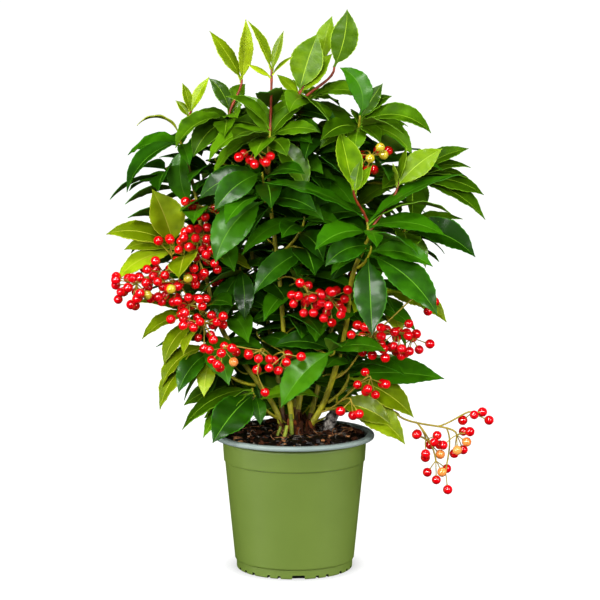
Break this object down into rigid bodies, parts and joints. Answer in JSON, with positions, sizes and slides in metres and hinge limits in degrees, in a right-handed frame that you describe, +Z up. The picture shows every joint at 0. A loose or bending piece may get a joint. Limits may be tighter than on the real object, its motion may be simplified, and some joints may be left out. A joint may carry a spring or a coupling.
{
  "type": "potted coral ardisia",
  "caption": "Round tapered nursery pot of soil with a clump of slender upright stems, rosettes of leathery leaves at the twig ends and drooping umbels of round red berries.",
  "frame": {"origin": "centre of the pot's flat underside, on the surface that it stands on", "axes": "+Z up along the pot's axis, -Y towards the side that the picture shows, +X to its right"},
  "size_m": [0.3126, 0.2267, 0.4527],
  "materials": {
    "pot": "satin",
    "soil": "matte",
    "bark": "satin",
    "leaves": "satin",
    "berries": "gloss"
  },
  "bodies": {
    "root": {"pot": "pot", "soil": "soil", "stem_right": "bark", "stem_left": "bark", "stem_front": "bark", "stem_middle": "bark", "stem_back_right": "bark", "stem_back_left": "bark", "stem_back": "bark", "bough_fruiting": "bark", "bough_right": "bark", "bough_right_upper": "bark", "bough_right_lower": "bark", "bough_back_right": "bark", "bough_back_left": "bark", "bough_back_low": "bark", "bough_back_low_left": "bark", "fruit_left": "berries", "fruit_upper_left": "berries", "fruit_left_lower": "berries", "fruit_low_left": "berries", "fruit_centre": "berries", "fruit_right": "berries", "fruit_low_right": "berries", "fruit_far_right": "berries", "fruit_top_centre": "berries", "fruit_top_right": "berries", "foliage_upper_left": "leaves", "foliage_crown_right": "leaves", "foliage_top_left": "leaves", "foliage_top_front": "leaves", "foliage_top_right": "leaves", "foliage_front_right": "leaves", "foliage_front_right_lower": "leaves", "foliage_right": "leaves", "foliage_right_upper": "leaves", "foliage_right_lower": "leaves", "foliage_front_upper": "leaves", "foliage_centre": "leaves", "foliage_left": "leaves", "foliage_left_middle": "leaves", "foliage_left_lower": "leaves", "foliage_low_left": "leaves", "foliage_foot_left": "leaves", "foliage_low_front": "leaves", "foliage_low_right": "leaves", "foliage_inner": "leaves", "foliage_inner_high": "leaves", "foliage_back_top": "leaves", "foliage_back_upper_left": "leaves", "foliage_back_upper_right": "leaves", "foliage_back_left": "leaves", "foliage_back_right": "leaves", "foliage_back_middle": "leaves", "foliage_back_low": "leaves", "foliage_back_low_left": "leaves"}
  },
  "joints": []
}
